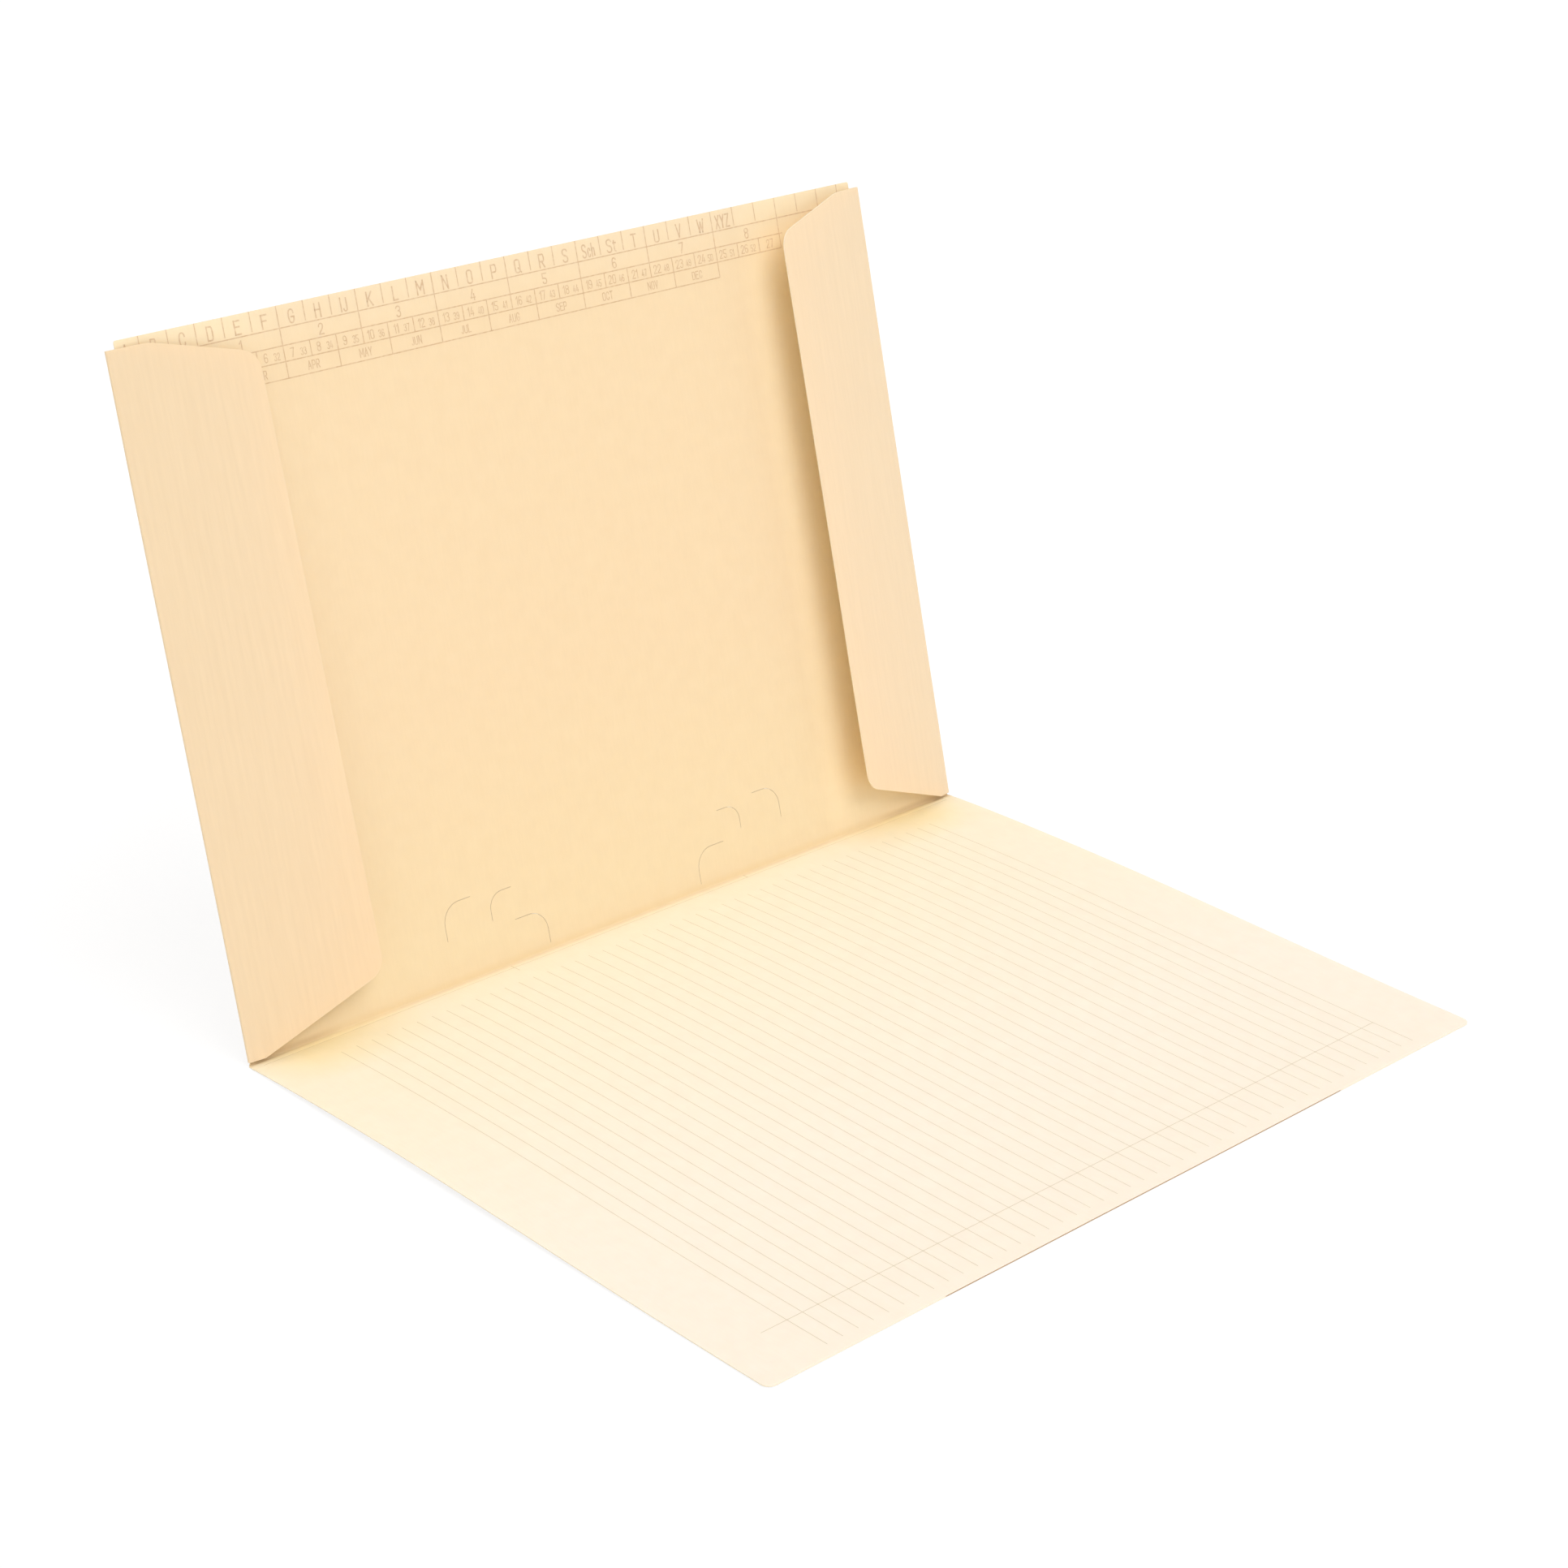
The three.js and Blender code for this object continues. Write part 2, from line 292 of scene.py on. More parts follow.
def slit_cutter(side, values):
    """An upright wall along one slit, rounded at its corner and as thick as the slit is wide."""
    leg, foot, crown, tail, radius = (value * MM for value in values)
    low, high = up_panel(foot), up_panel(crown)
    put_down()
    bpy.ops.mesh.primitive_plane_add(
        size=1, location=(side * leg, (low + high) / 2, 0), rotation=(0, math.pi / 2, 0)
    )
    wall = bpy.context.object
    wall.scale = (5 * BOARD, high - low, 1)
    bpy.ops.object.transform_apply(location=True, rotation=True, scale=True)
    edit(wall)
    pull_out(wall, lambda _, p: p.y > high - NEAR, x=side * (tail - leg))
    pick(wall, at(side * leg, high))
    bpy.ops.mesh.bevel(
        offset_type="OFFSET", offset=radius, segments=CORNER_STEPS, affect="EDGES"
    )
    finish(wall, "SOLIDIFY", thickness=SLIT_WIDTH, offset=0)
    return wall


def cut_blank():
    blank = join([cut_panel_and_cover(), cut_flap(-1), cut_flap(1)], "manila_folder")
    edit(blank)
    bpy.ops.mesh.select_all(action="SELECT")
    bpy.ops.mesh.remove_doubles(threshold=0.01 * MM)
    finish(blank, "SOLIDIFY", thickness=BOARD, offset=0)
    cutters = [slit_cutter(side, values) for side in (-1, 1) for values in SLITS_MM]
    cutter = join(cutters, "slits")
    finish(blank, "BOOLEAN", operation="DIFFERENCE", solver="EXACT", object=cutter)
    bpy.data.objects.remove(cutter)
    edit(blank)
    shift(blank, lambda *_: True, z=BOARD / 2)
    cut("y", rows_across)
    cut("x", rows_along)
    take(blank)
    return blank


# Rows of vertices, so that the sheet can bend at its folds and lie in a curve elsewhere
steps = [k / FOLD_STEPS for k in range(FOLD_STEPS + 1)]
crease_rows = [fold_edge - SECOND_CREASE + k * SECOND_CREASE_WIDTH / 2 for k in (-1, 0, 1)]
rows_across = [fold_start + fold_length * step for step in steps] + crease_rows
cover_rows = [front_edge + ROW * k for k in range(1, ROWS_UP + 1)]
panel_rows = [fold_end + ROW * k for k in range(1, ROWS_UP + 1)]
rows_across += [row for row in cover_rows if row < crease_rows[0]]
rows_across += [row for row in panel_rows if row < panel_top]
rows_along = [ROW * k for k in range(-ROWS_ASIDE, ROWS_ASIDE + 1)]
for side in (-1, 1):
    rows_along += [side * (side_start + (side_end - side_start) * step) for step in steps]
    rows_along += [side * (side_end + ROW * k) for k in range(1, ROWS_ON_FLAP + 1)]


# The print, on the blank's inner face before it is folded

INK_PROUD = 0.015 * MM  # how far the ink stands off the board
INK_SUNK = 0.02 * MM
GRID_WIDTH = 0.36 * MM
CELL = 10.25 * MM
FIRST_SEPARATOR = -147.4 * MM
SEPARATORS = 30
LAST_GROUP_SEPARATOR = 26
LAST_MONTH_SEPARATOR = 23
ROW_FEET = [223.7 * MM, 218.2 * MM, 213.2 * MM, 207.9 * MM]  # heights of the lines under each row
SEPARATOR_GAP = 0.7 * MM  # between the letters' separators and the line under them
TAB_TOP = SIDE_FOLD_HEIGHT + TAB_RISE
LETTERING_MM = {  # height of the feet, height of a capital, step of the alphabet's grid, stroke
    "letters": (224.3, 4.8, 0.33, 0.56),
    "three letters": (224.3, 4.8, 0.25, 0.56),
    "groups": (218.9, 3.8, 0.31, 0.46),
    "weeks": (214, 3.1, 0.24, 0.34),
    "later weeks": (214, 2.5, 0.16, 0.28),
    "months": (209, 2.9, 0.18, 0.34),
}
HALF_YEAR = 26  # weeks; each week shares its cell with the one half a year later
WEEK_ASIDE = 2 * MM
LATER_WEEK_ASIDE = 2.2 * MM
CAP_STEPS = 9  # height of a capital on the grid that the alphabet is drawn on
ALPHABET = {  # condensed capitals and figures as middle lines through grid points; ~ is rounded
    "A": "00-39-60 13-53",
    "B": "00-09 ~09-39-59-55-35-05 ~05-35-65-60-30-00",
    "C": "~66-69-09-00-60-63",
    "D": "00-09 ~09-39-69-60-30-00",
    "E": "60-00-09-69 05-55",
    "F": "00-09-69 05-55",
    "G": "~66-69-09-00-60-64 64-34",
    "H": "00-09 60-69 05-65",
    "I": "00-09",
    "J": "~49-43-40-00-02",
    "K": "00-09 03-69 25-60",
    "L": "09-00-50",
    "M": "00-09-43-89-80",
    "N": "00-09-60-69",
    "O": "~00-03-06-09-69-66-63-60o",
    "P": "00-09 ~09-39-69-64-34-04",
    "Q": "~00-03-06-09-69-66-63-60o 43-70",
    "R": "00-09 ~09-39-69-64-34-04 34-60",
    "S": "~67-69-09-05-64-60-00-02",
    "T": "09-69 39-30",
    "U": "~09-03-00-60-63-69",
    "V": "09-30-69",
    "W": "09-20-47-60-89",
    "X": "00-69 09-60",
    "Y": "09-34-69 34-30",
    "Z": "09-69-00-60",
    "c": "~44-46-06-00-40-42",
    "h": "00-09 ~04-06-46-43-40",
    "t": "~18-12-10-30 06-36",
    "0": "~00-03-06-09-59-56-53-50o",
    "1": "07-29-20",
    "2": "~06-09-59-55-01-00 00-50",
    "3": "~07-09-59-55-25 ~25-55-50-00-02",
    "4": "39-02-52 45-40",
    "5": "59-09-05 ~05-55-50-00-02",
    "6": "~57-59-09-00-50-55-05-03",
    "7": "09-59-20",
    "8": "~05-09-59-55o ~00-05-55-50o",
    "9": "~02-00-50-59-09-04-54-56",
}
LETTERS = "A B C D E F G H IJ K L M N O P Q R S Sch St T U V W XYZ".split()
MONTHS = "JAN FEB MAR APR MAY JUN JUL AUG SEP OCT NOV DEC".split()

RULE_WIDTH = 0.18 * MM
RULES = 45
FIRST_RULE = -132.9 * MM
RULE_PITCH = 6.08 * MM
RULES_BEGIN = (12.7 * MM, 14.5 * MM)  # off the main fold, for the first and the last rule
RULES_END = 234.2 * MM
MARGIN = 218 * MM
MARGIN_ENDS = (-142.9 * MM, 134.6 * MM)
CREASE_MARKS_MM = [(-53.6, 1.5, 6), (53.6, 0.9, 3.4)]  # place, and both ends off the main fold
SCORE_END = 156 * MM


def line(x0, y0, x1, y1, width):
    """A printed line as a thin box, along x or along y."""
    put_down()
    middle = ((x0 + x1) / 2, (y0 + y1) / 2, BOARD + (INK_PROUD - INK_SUNK) / 2)
    bpy.ops.mesh.primitive_cube_add(size=1, location=middle)
    stroke = bpy.context.object
    stroke.scale = (
        max(abs(x1 - x0), width),
        max(abs(y1 - y0), width),
        INK_PROUD + INK_SUNK,
    )
    bpy.ops.object.transform_apply(location=True, rotation=True, scale=True)
    return stroke


def separator(k):
    return FIRST_SEPARATOR + CELL * k


def index_lines():
    """The grid of the index: four rows under the tab's top edge."""
    first, second, third, fourth = (up_panel(height) for height in ROW_FEET)
    last_group = separator(LAST_GROUP_SEPARATOR)
    ends = {
        first: tab_half,
        second: last_group + 1.5 * MM,
        third: last_group,
        fourth: separator(LAST_MONTH_SEPARATOR),
    }
    strokes = [line(-tab_half, y, end, y, GRID_WIDTH) for y, end in ends.items()]
    for k in range(SEPARATORS):
        x = separator(k)
        starts_group = k % 3 == 2 and k <= LAST_GROUP_SEPARATOR
        foot = third if starts_group else first + SEPARATOR_GAP
        strokes.append(line(x, foot, x, up_panel(TAB_TOP), GRID_WIDTH))
        if k <= LAST_GROUP_SEPARATOR and not starts_group:
            strokes.append(line(x, third, x, second, GRID_WIDTH))
        if k <= LAST_MONTH_SEPARATOR and k % 2:
            strokes.append(line(x, fourth, x, third, GRID_WIDTH))
    return strokes


def draw_stroke(words, points, order, closed=False):
    """Adds one stroke's middle line, straight at order 2 and rounded at order 3."""
    spline = words.splines.new("NURBS")
    spline.points.add(len(points) - 1)
    for point, (x, y) in zip(spline.points, points):
        point.co = (x, y, 0, 1)
    spline.order_u = order
    spline.use_endpoint_u = not closed
    spline.use_cyclic_u = closed
    spline.resolution_u = 3


def lettering(body, x, row):
    """A word drawn as strokes, centred on x in a row of the index."""
    height, cap, step, weight = (value * MM for value in LETTERING_MM[row])
    words = bpy.data.curves.new("words", "CURVE")
    words.dimensions = "3D"
    words.bevel_depth = weight / 2
    words.bevel_resolution = 1
    words.use_fill_caps = True
    rise = (cap - weight) / CAP_STEPS
    foot = up_panel(height) + weight / 2
    columns = [re.findall(r"(\d)\d", ALPHABET[letter]) for letter in body]
    widths = [max(int(column) for column in used) for used in columns]
    gap = 1.1 * step + weight
    place = x - (sum(widths) * step + (len(body) - 1) * gap) / 2
    for letter, width in zip(body, widths):
        for stroke in ALPHABET[letter].split():
            points = [
                Vector((place + int(across) * step, foot + int(up) * rise))
                for across, up in re.findall(r"(\d)(\d)", stroke)
            ]
            if stroke[0] == "~":
                draw_stroke(words, points, 3, stroke[-1] == "o")
                continue
            for start, end in zip(points, points[1:]):
                reach = (end - start).normalized() * weight / 2
                draw_stroke(words, (start - reach, end + reach), 2)
        place += width * step + gap
    piece = bpy.data.objects.new("words", words)
    bpy.context.collection.objects.link(piece)
    piece.location.z = BOARD + (INK_PROUD - INK_SUNK) / 2
    piece.scale.z = (INK_PROUD + INK_SUNK) / weight
    return piece


def index_words():
    """Letters, group numbers, week numbers and months, centred over their cells."""
    words = []
    for i, letter in enumerate(LETTERS):
        row = "three letters" if len(letter) == 3 else "letters"
        words.append(lettering(letter, separator(i - 0.5), row))
    for group in range(9):
        words.append(lettering(str(group), separator(3 * group + 0.5), "groups"))
    for week in range(1, HALF_YEAR + 1):
        middle = separator(week - 1.5)
        words.append(lettering(str(week), middle - WEEK_ASIDE, "weeks"))
        words.append(lettering(str(week + HALF_YEAR), middle + LATER_WEEK_ASIDE, "later weeks"))
    words.append(lettering(str(HALF_YEAR + 1), separator(HALF_YEAR - 0.5), "weeks"))
    for i, month in enumerate(MONTHS):
        words.append(lettering(month, separator(2 * i), "months"))
    take(*words)
    bpy.ops.object.convert(target="MESH")
    bpy.ops.object.transform_apply(location=True, rotation=True, scale=True)
    return words


def print_index():
    grid = join(index_lines(), "grid")
    edit(grid)
    cut("x", rows_along)
    return join([grid, *index_words()], "index_print")


def print_ruling():
    """The ruled lines of the inside cover, its margin line and the marks by the second crease."""
    strokes = []
    first_begin, last_begin = RULES_BEGIN
    for k in range(RULES):
        x = FIRST_RULE + RULE_PITCH * k
        begin = first_begin + (last_begin - first_begin) * k / (RULES - 1)
        strokes.append(line(x, fold_edge - begin, x, fold_edge - RULES_END, RULE_WIDTH))
    margin = fold_edge - MARGIN
    left, right = MARGIN_ENDS
    strokes.append(line(left, margin, right, margin, RULE_WIDTH))
    for values in CREASE_MARKS_MM:
        x, begin, end = (value * MM for value in values)
        strokes.append(line(x, fold_edge - begin, x, fold_edge - end, RULE_WIDTH))
    score = fold_edge - SECOND_CREASE
    strokes.append(line(-SCORE_END, score, SCORE_END, score, 0.7 * RULE_WIDTH))
    ruling = join(strokes, "cover_ruling")
    edit(ruling)
    cut("y", rows_across)
    cut("x", rows_along)
    return ruling


# Warping, creasing and folding, the same for the board and the print on it


def turn(piece, flat, wanted, axis, centre, angle):
    """Turns what lies beyond a fold about a line along one axis."""
    pick(piece, lambda i, _: wanted(flat[i]))
    bpy.ops.transform.rotate(value=-angle, orient_axis=axis, center_override=centre)


def stand_at(side, flat_y):
    foot, top = FLAP_STAND[side]
    return foot + (top - foot) * (flat_y - flap_foot) / (panel_top - flap_foot)


def fold_flap(piece, flat, side):
    """Rolls one flap in round its fold, then opens each of its rows to where the flap stands."""
    on_flap = lambda p, beyond: side * p.x > beyond and p.y > flap_foot - 0.01 * MM
    for step in reversed(steps[:-1]):
        hinge = side_start + (side_end - side_start) * (step + 0.5 / FOLD_STEPS)
        turned = lambda p: on_flap(p, hinge)
        centre = (side * hinge, 0, BOARD / 2)
        turn(piece, flat, turned, "Y", centre, -side * side_turn / FOLD_STEPS)
    centre = (side * side_start, 0, BOARD / 2 + side_middle)
    almost = side_end - 0.05 * MM
    for row in sorted({round(p.y, 6) for p in flat if on_flap(p, almost)}):
        opened = math.radians(stand_at(side, row) - side_stand)
        in_row = lambda p: on_flap(p, almost) and round(p.y, 6) == row
        turn(piece, flat, in_row, "Y", centre, side * opened)


def crease_and_fold(piece):
    """Keeps the flat places for the materials, warps the flat piece a little, and folds it up."""
    flat = [vertex.co.copy() for vertex in piece.data.vertices]
    places = piece.data.attributes.new("flat_place", "FLOAT_VECTOR", "POINT")
    places.data.foreach_set("vector", [value for place in flat for value in place])
    finish(
        piece,
        "DISPLACE",
        texture=board_warp,
        texture_coords="LOCAL",
        direction="Z",
        strength=BOARD_WARP,
        mid_level=0.25,
    )
    edit(piece)
    for row in sorted({round(p.y, 6) for p in flat if p.y < fold_start}):
        shift(piece, lambda i, _: round(flat[i].y, 6) == row, z=cover_lift(row))
    for side in (-1, 1):
        fold_flap(piece, flat, side)
    for step in reversed(steps[:-1]):
        hinge = fold_start + fold_length * (step + 0.5 / FOLD_STEPS)
        centre = (0, hinge, BOARD / 2)
        turn(piece, flat, lambda p: p.y > hinge, "X", centre, panel_turn / FOLD_STEPS)
    take(piece)


BOARD_WARP = 0.5 * MM
board_warp = bpy.data.textures.new("board warp", "CLOUDS")
board_warp.noise_scale = 110 * MM
board_warp.noise_depth = 1

folder = cut_blank()
index_print = print_index()
cover_ruling = print_ruling()
for piece in (folder, index_print, cover_ruling):
    crease_and_fold(piece)


# Finishes

# The inner face's tones paint its light and shade: the cover grows paler away from the main fold
INNER_TONES = [  # of the inner face at places on the flat blank, from the tab to the cover's front
    (up_panel(TAB_TOP), 0xECD5B4),
    (up_panel(215 * MM), 0xEAD0AB),
    (up_panel(93 * MM), 0xEAD0AB),
    (up_panel(47 * MM), 0xEAD2AC),
    (up_panel(10 * MM), 0xEAD4AE),
    (fold_end, 0xEAD2AC),
    (fold_start, 0xEAD0AB),
    (fold_start - 1.3 * MM, 0xF4DFBC),
    (fold_start - 3.2 * MM, 0xF8E8CA),
    (fold_start - 16 * MM, 0xFAEACE),
    (fold_start - 48 * MM, 0xFCEBD1),
    (fold_start - 160 * MM, 0xFEEDD9),
]
FEET_SHADE = 0xFCE0A9  # painted shade on the cover beside the flaps' feet
FLAPS_PAINTED_LIGHT = 0xFFE8C2  # painted light on the panel under the flaps
CLOUDS = 0xB08C58
CREASE_PRESSING_AND_SHADE = 0xE0C084  # the main fold's crease: darker from pressing, and painted shade
FOLD_END_SHADE = 0xA88A60  # painted shade at its ends
OUTER_STREAKS = (0xE9CDA8, 0xECD0AB)
# painted light on the outer face, paler towards the right
OUTER_PAINTED_LIGHT = 0xFFF4E8
FIBRES = 0xA88A60
CORE = 0xF7E6CA  # what the die laid bare along the edges
SLIT_SHADE = 0xA07C50  # painted shade on the cut walls in the slits, where light hardly reaches
INK_FILM = 0xE2D3C7  # the colour of what the ink lets through where it is full
THIN_INK_FILM = 0xF3EDE7
COVER_INK_FILM = 0xB5BF99

# Sizes of the patterns, across the mill's direction and along it
CLOUDS_MM = (6.25, 6.25)  # flocks of fibres in the sheet
STREAKS_MM = (1.54, 38.5)  # left by the mill's felt
GRAIN_MM = (0.714, 9.09)  # fibres, really 0.03 mm wide: too fine to show, so drawn as bundles
TOOTH_MM = (0.385, 0.385)  # pits, really 0.1 mm wide: as coarse as they need to be to show
THIN_INK_MM = (1.43, 1.43)


def linear(hex_colour):
    """An sRGB hex colour as the linear one that a node takes."""
    channels = [(hex_colour >> bits & 255) / 255 for bits in (16, 8, 0)]
    return [c / 12.92 if c <= 0.04045 else ((c + 0.055) / 1.055) ** 2.4 for c in channels] + [1]


def add_node(material, kind, inputs, output=0, **settings):
    """Adds a node, sets it up, gives its inputs values or links, and hands on one output."""
    tree = material.node_tree
    node = tree.nodes.new("ShaderNode" + kind)
    for name, value in settings.items():
        setattr(node, name, value)
    for name, value in inputs.items():
        if isinstance(value, bpy.types.NodeSocket):
            tree.links.new(value, node.inputs[name])
        else:
            node.inputs[name].default_value = value
    return node.outputs[output]


def new_material(name):
    material = bpy.data.materials.new(name)
    material.use_nodes = True
    return material, material.node_tree.nodes["Principled BSDF"]


def on_blank(material):
    """Where a point lies on the flat blank: across it, along it and through the board, and how far
    off its middle line."""
    flat = add_node(material, "Attribute", {}, "Vector", attribute_name="flat_place")
    x, y, z = add_node(material, "SeparateXYZ", {0: flat}).node.outputs
    return x, y, z, add_node(material, "Math", {0: x}, operation="ABSOLUTE")


def mottling(material, size_mm, detail=2):
    """Soft mottling laid on the flat blank, of this size across it and along it."""
    across, along = (1 / (size * MM) for size in size_mm)
    flat = add_node(material, "Attribute", {}, "Vector", attribute_name="flat_place")
    stretched = add_node(material, "Mapping", {"Vector": flat, "Scale": (across, along, 1)})
    return add_node(material, "TexNoise", {"Vector": stretched, "Scale": 1, "Detail": detail})


def lay_over(material, under, over, strength, *bands):
    """Lays one colour over another, at a strength that grows from none across each band."""
    for value, low, high in bands:
        grown = add_node(material, "MapRange", {"Value": value, "From Min": low, "From Max": high})
        strength = add_node(material, "Math", {0: strength, 1: grown}, operation="MULTIPLY")
    return add_node(material, "Mix", {0: strength, 6: under, 7: over}, 2, data_type="RGBA")


def inner_face(material):
    """The inner face, with light and shade painted into its colour. It is painted paler away from
    the main fold, where the light is stronger, but less beside the flaps' feet, where shade is
    painted.
    The panel is painted paler under the flaps, as light in their shadow. The crease is darker from
    pressing, with painted shade in it, and painted shade darkens its ends."""
    x, y, _, off_middle = on_blank(material)
    colour = linear(INNER_TONES[0][1])
    for (place, _), (next_place, tone) in zip(INNER_TONES, INNER_TONES[1:]):
        colour = lay_over(material, colour, linear(tone), 1, (y, place, next_place))
    # painted light: the panel is paler under the flaps, more so on the right and less at the top
    top, below = up_panel(222 * MM), up_panel(205 * MM)
    to_right = {"Value": x, "From Min": -100 * MM, "From Max": 100 * MM, "To Min": 0.35}
    down = {"Value": y, "From Min": top, "From Max": below, "To Min": 0.45}
    grown = {k: add_node(material, "MapRange", band) for k, band in enumerate((to_right, down))}
    flaps_light_strength = add_node(material, "Math", grown, operation="MINIMUM")
    beside_middle = (off_middle, 97 * MM, 117 * MM)
    above_fold = (y, up_panel(0), up_panel(8 * MM))
    colour = lay_over(material, colour, linear(FLAPS_PAINTED_LIGHT), flaps_light_strength, beside_middle, above_fold)
    # painted shade: the cover beside the flaps' feet is left less pale
    feet_shade_bands = [
        (y, fold_start - 26 * MM, fold_start - 5 * MM),
        (y, fold_end, fold_start),
        (off_middle, 95 * MM, 130 * MM),
        (off_middle, half_width, half_width - 18 * MM),
    ]
    colour = lay_over(material, colour, linear(FEET_SHADE), 0.9, *feet_shade_bands)
    clouds = (mottling(material, CLOUDS_MM, 3), 0.3, 0.7)
    colour = lay_over(material, colour, linear(CLOUDS), 0.04, clouds)
    # the main fold's crease: darker from pressing, with painted shade in it
    off_crease = add_node(material, "Math", {0: y, 1: fold_end}, operation="SUBTRACT")
    off_crease = add_node(material, "Math", {0: off_crease}, operation="ABSOLUTE")
    crease_bands = (off_crease, 2.6 * MM, 0.4 * MM)
    colour = lay_over(material, colour, linear(CREASE_PRESSING_AND_SHADE), 0.25, crease_bands)
    # painted shade at the main fold's ends
    fold_end_bands = [(off_middle, 122 * MM, 134 * MM), (off_crease, 2 * MM, 0.8 * MM)]
    return lay_over(material, colour, linear(FOLD_END_SHADE), 0.28, *fold_end_bands)


def outer_face(material):
    """The outer face is a little greyer, with streaks along the mill's direction, and painted light
    makes it faintly paler towards the right."""
    x, *_ = on_blank(material)
    streaks = (mottling(material, STREAKS_MM), 0.3, 0.7)
    dark, light = (linear(tone) for tone in OUTER_STREAKS)
    colour = lay_over(material, dark, light, 1, streaks)
    # painted light: paler towards the right
    return lay_over(material, colour, linear(OUTER_PAINTED_LIGHT), 0.06, (x, -150 * MM, 150 * MM))


def manila_board():
    """Uncoated manila board, calendered but not glazed: matt, warm buff, faintly cloudy, streaked
    along the mill's direction on its outer face, with a paler core where the die cut it, and
    painted shade in its slits. Its faces carry painted light and shade too."""
    material, shader = new_material("manila board, uncoated")
    _, y, z, off_middle = on_blank(material)
    inside = (z, 0.49 * BOARD, 0.51 * BOARD)
    colour = lay_over(material, outer_face(material), inner_face(material), 1, inside)
    grain = mottling(material, GRAIN_MM)
    colour = lay_over(material, colour, linear(FIBRES), 0.03, (grain, 0.3, 0.75))
    # the cut walls: the die's paler core, with painted shade in the slits; the mask also takes in
    # the middle of the cover's front edge
    slits = [(y, up_panel(50 * MM), up_panel(49 * MM)), (off_middle, 91 * MM, 90 * MM)]
    cut_edge = lay_over(material, linear(CORE), linear(SLIT_SHADE), 1, *slits)
    depth = add_node(material, "Math", {0: z, 1: BOARD / 2}, operation="SUBTRACT")
    depth = add_node(material, "Math", {0: depth}, operation="ABSOLUTE")
    colour = lay_over(material, colour, cut_edge, 1, (depth, 0.47 * BOARD, 0.42 * BOARD))
    material.node_tree.links.new(colour, shader.inputs["Base Color"])
    shader.inputs["Roughness"].default_value = 0.62
    shader.inputs["IOR"].default_value = 1.5
    shader.inputs["Subsurface Weight"].default_value = 0.3
    shader.inputs["Subsurface Radius"].default_value = (1, 0.85, 0.65)
    shader.inputs["Subsurface Scale"].default_value = 1.2 * MM
    tooth = mottling(material, TOOTH_MM)
    height = add_node(material, "Math", {0: tooth, 1: grain}, operation="ADD")
    relief = {"Height": height, "Strength": 0.16, "Distance": 0.02 * MM}
    material.node_tree.links.new(add_node(material, "Bump", relief), shader.inputs["Normal"])
    return material


def printing_ink():
    """Grey-brown offset ink that has soaked into the board: matt, and thin in places. The board
    shows through it."""
    material, shader = new_material("printing ink on manila board")
    _, y, *_ = on_blank(material)
    thin = (mottling(material, THIN_INK_MM, 3), 0.35, 0.7)
    ink = lay_over(material, linear(INK_FILM), linear(THIN_INK_FILM), 1, thin)
    ink = lay_over(material, ink, linear(COVER_INK_FILM), 0.4, (y, fold_end, fold_start))
    # the board shows through the ink, with its painted light and shade
    layers = {0: 1, 6: inner_face(material), 7: ink}
    colour = add_node(material, "Mix", layers, 2, data_type="RGBA", blend_type="MULTIPLY")
    material.node_tree.links.new(colour, shader.inputs["Base Color"])
    shader.inputs["Roughness"].default_value = 0.7
    shader.inputs["IOR"].default_value = 1.5
    return material


folder.data.materials.clear()
folder.data.materials.append(manila_board())
ink = printing_ink()
for piece in (index_print, cover_ruling):
    piece.data.materials.clear()
    piece.data.materials.append(ink)
take(folder, index_print, cover_ruling)
bpy.ops.object.shade_smooth_by_angle(angle=math.radians(30))

for piece, slot in (
    (folder, "manila_card"),
    (index_print, "printing_ink"),
    (cover_ruling, "printing_ink"),
):
    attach(piece, "root")
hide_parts("folder_card", "left_flap", "right_flap")


# Studio

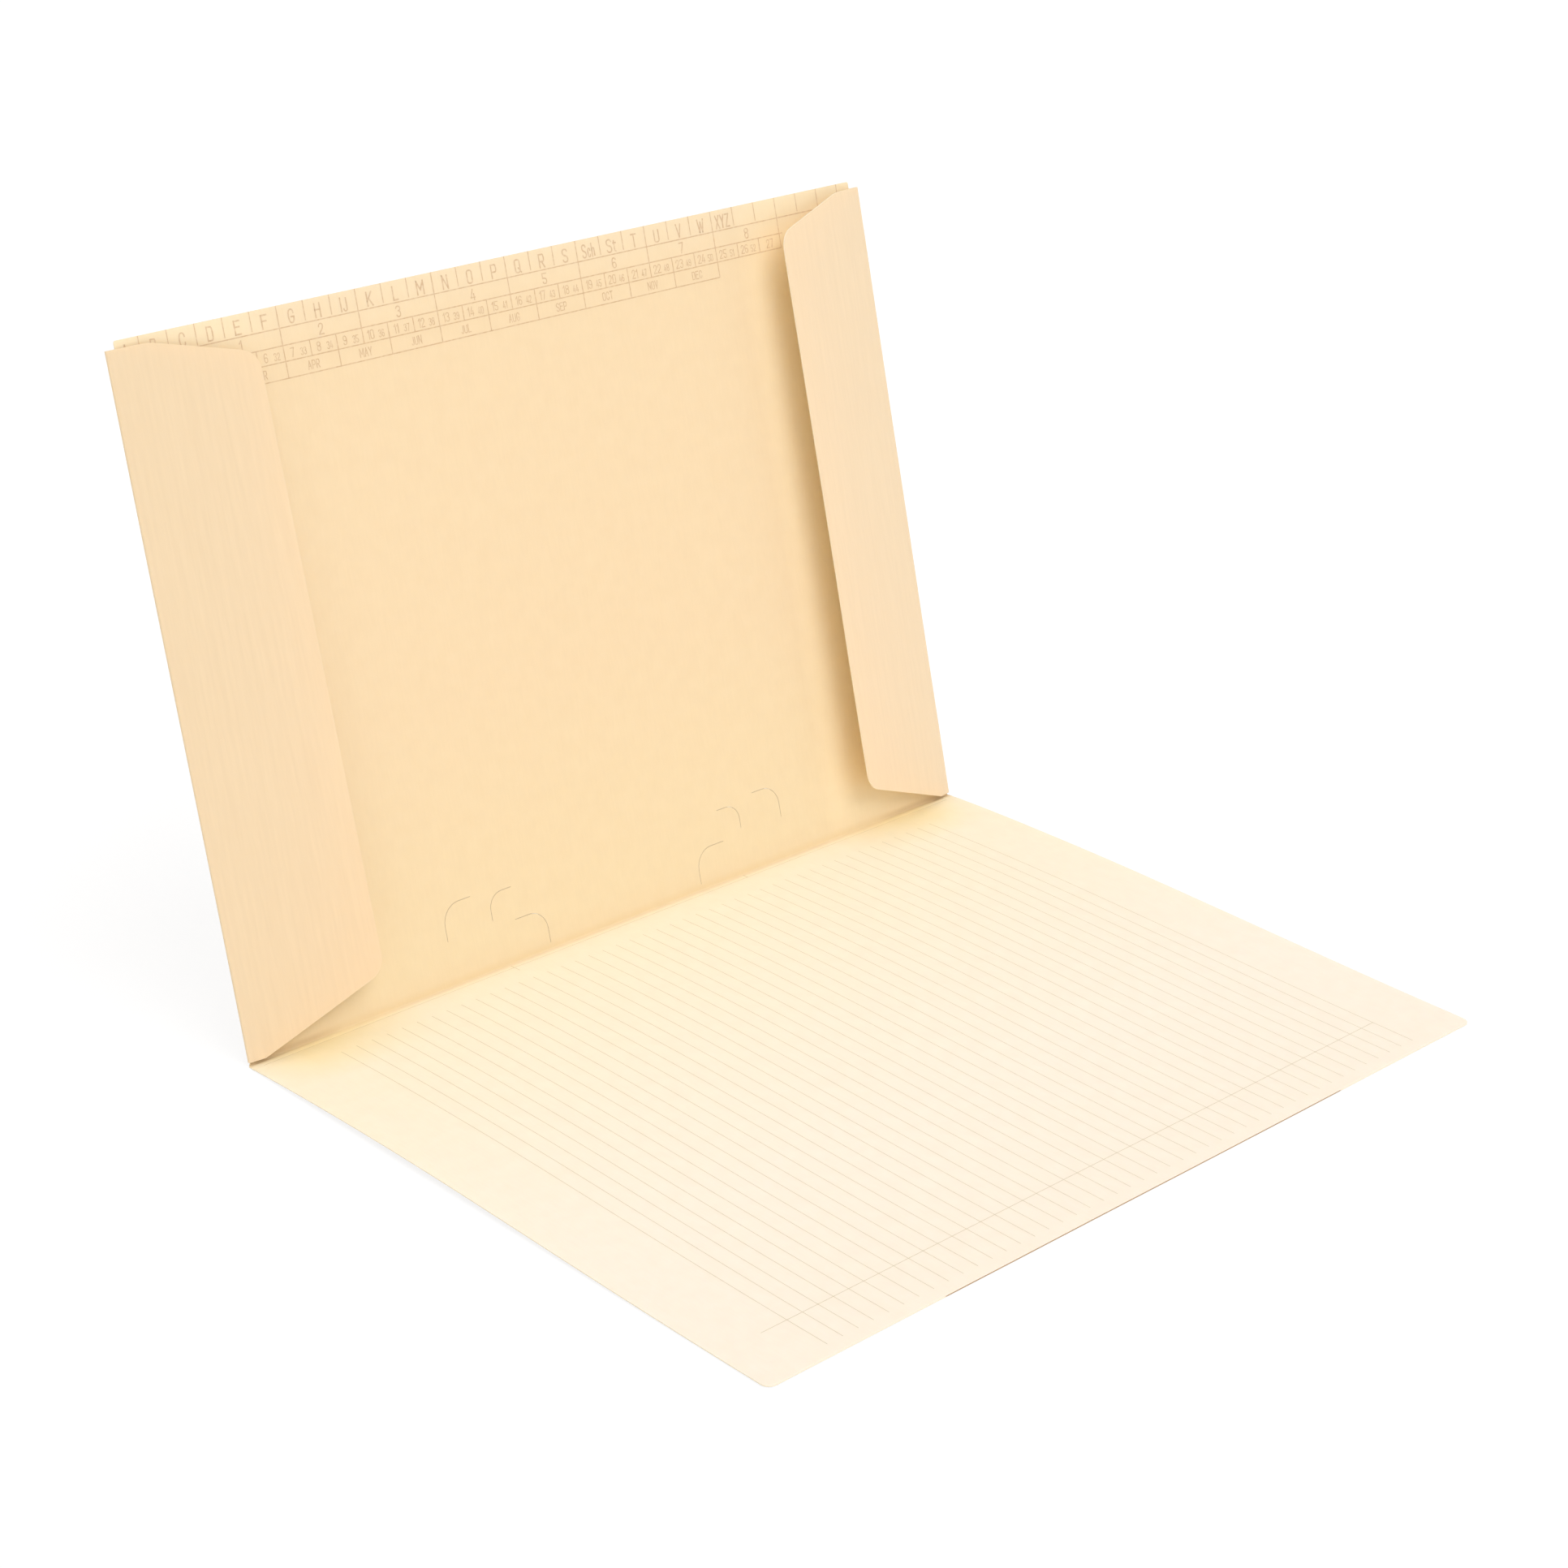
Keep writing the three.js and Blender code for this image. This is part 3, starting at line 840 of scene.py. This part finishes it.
BACKDROP_LIFT = 0.84
SKY = 0.66
SOFTBOXES = {  # towards each softbox, its strength, and how wide it looks in degrees
    "softbox_above": ((0.05, -0.5, 0.85), 1.6, 45),
    "softbox_left": ((-0.7, -0.5, 0.5), 0.17, 60),
}
CAMERA_PLACE = (-0.7051, -0.7060, 0.5297)
CAMERA_TURN = (65.812, -1.474, -43.738)  # degrees
CAMERA_LENS = 78.65


def white_paper():
    """White backdrop paper. What the camera sees of it is lifted to white, and keeps the shadow."""
    material, shader = new_material("white backdrop paper")
    shader.inputs["Roughness"].default_value = 0.9
    seen = add_node(material, "LightPath", {}, "Is Camera Ray")
    paper = lay_over(material, linear(0xF7F7F7), linear(0x707070), seen)
    material.node_tree.links.new(paper, shader.inputs["Base Color"])
    lift = add_node(material, "Math", {0: seen, 1: BACKDROP_LIFT}, operation="MULTIPLY")
    shader.inputs["Emission Color"].default_value = (1, 1, 1, 1)
    material.node_tree.links.new(lift, shader.inputs["Emission Strength"])
    return material


put_down()
bpy.ops.mesh.primitive_plane_add(size=40, location=(0, 0, -0.1 * MM))
floor = bpy.context.object
floor.name = floor.data.name = "floor"
floor.data.materials.append(white_paper())

world = bpy.data.worlds.new("studio")
world.use_nodes = True
world.node_tree.nodes["Background"].inputs["Color"].default_value = (1, 1, 1, 1)
world.node_tree.nodes["Background"].inputs["Strength"].default_value = SKY
bpy.context.scene.world = world

for name, (direction, strength, width) in SOFTBOXES.items():
    turned = Vector(direction).to_track_quat("Z", "Y").to_euler()
    bpy.ops.object.light_add(type="SUN", rotation=turned)
    softbox = bpy.context.object
    softbox.name = name
    softbox.data.energy = strength
    softbox.data.angle = math.radians(width)

turned = [math.radians(degrees) for degrees in CAMERA_TURN]
bpy.ops.object.camera_add(location=CAMERA_PLACE, rotation=turned)
camera = bpy.context.object
camera.data.lens = CAMERA_LENS
camera.data.sensor_width = 36
camera.data.clip_start = 0.01
bpy.context.scene.camera = camera
bpy.context.scene.view_settings.view_transform = "Standard"
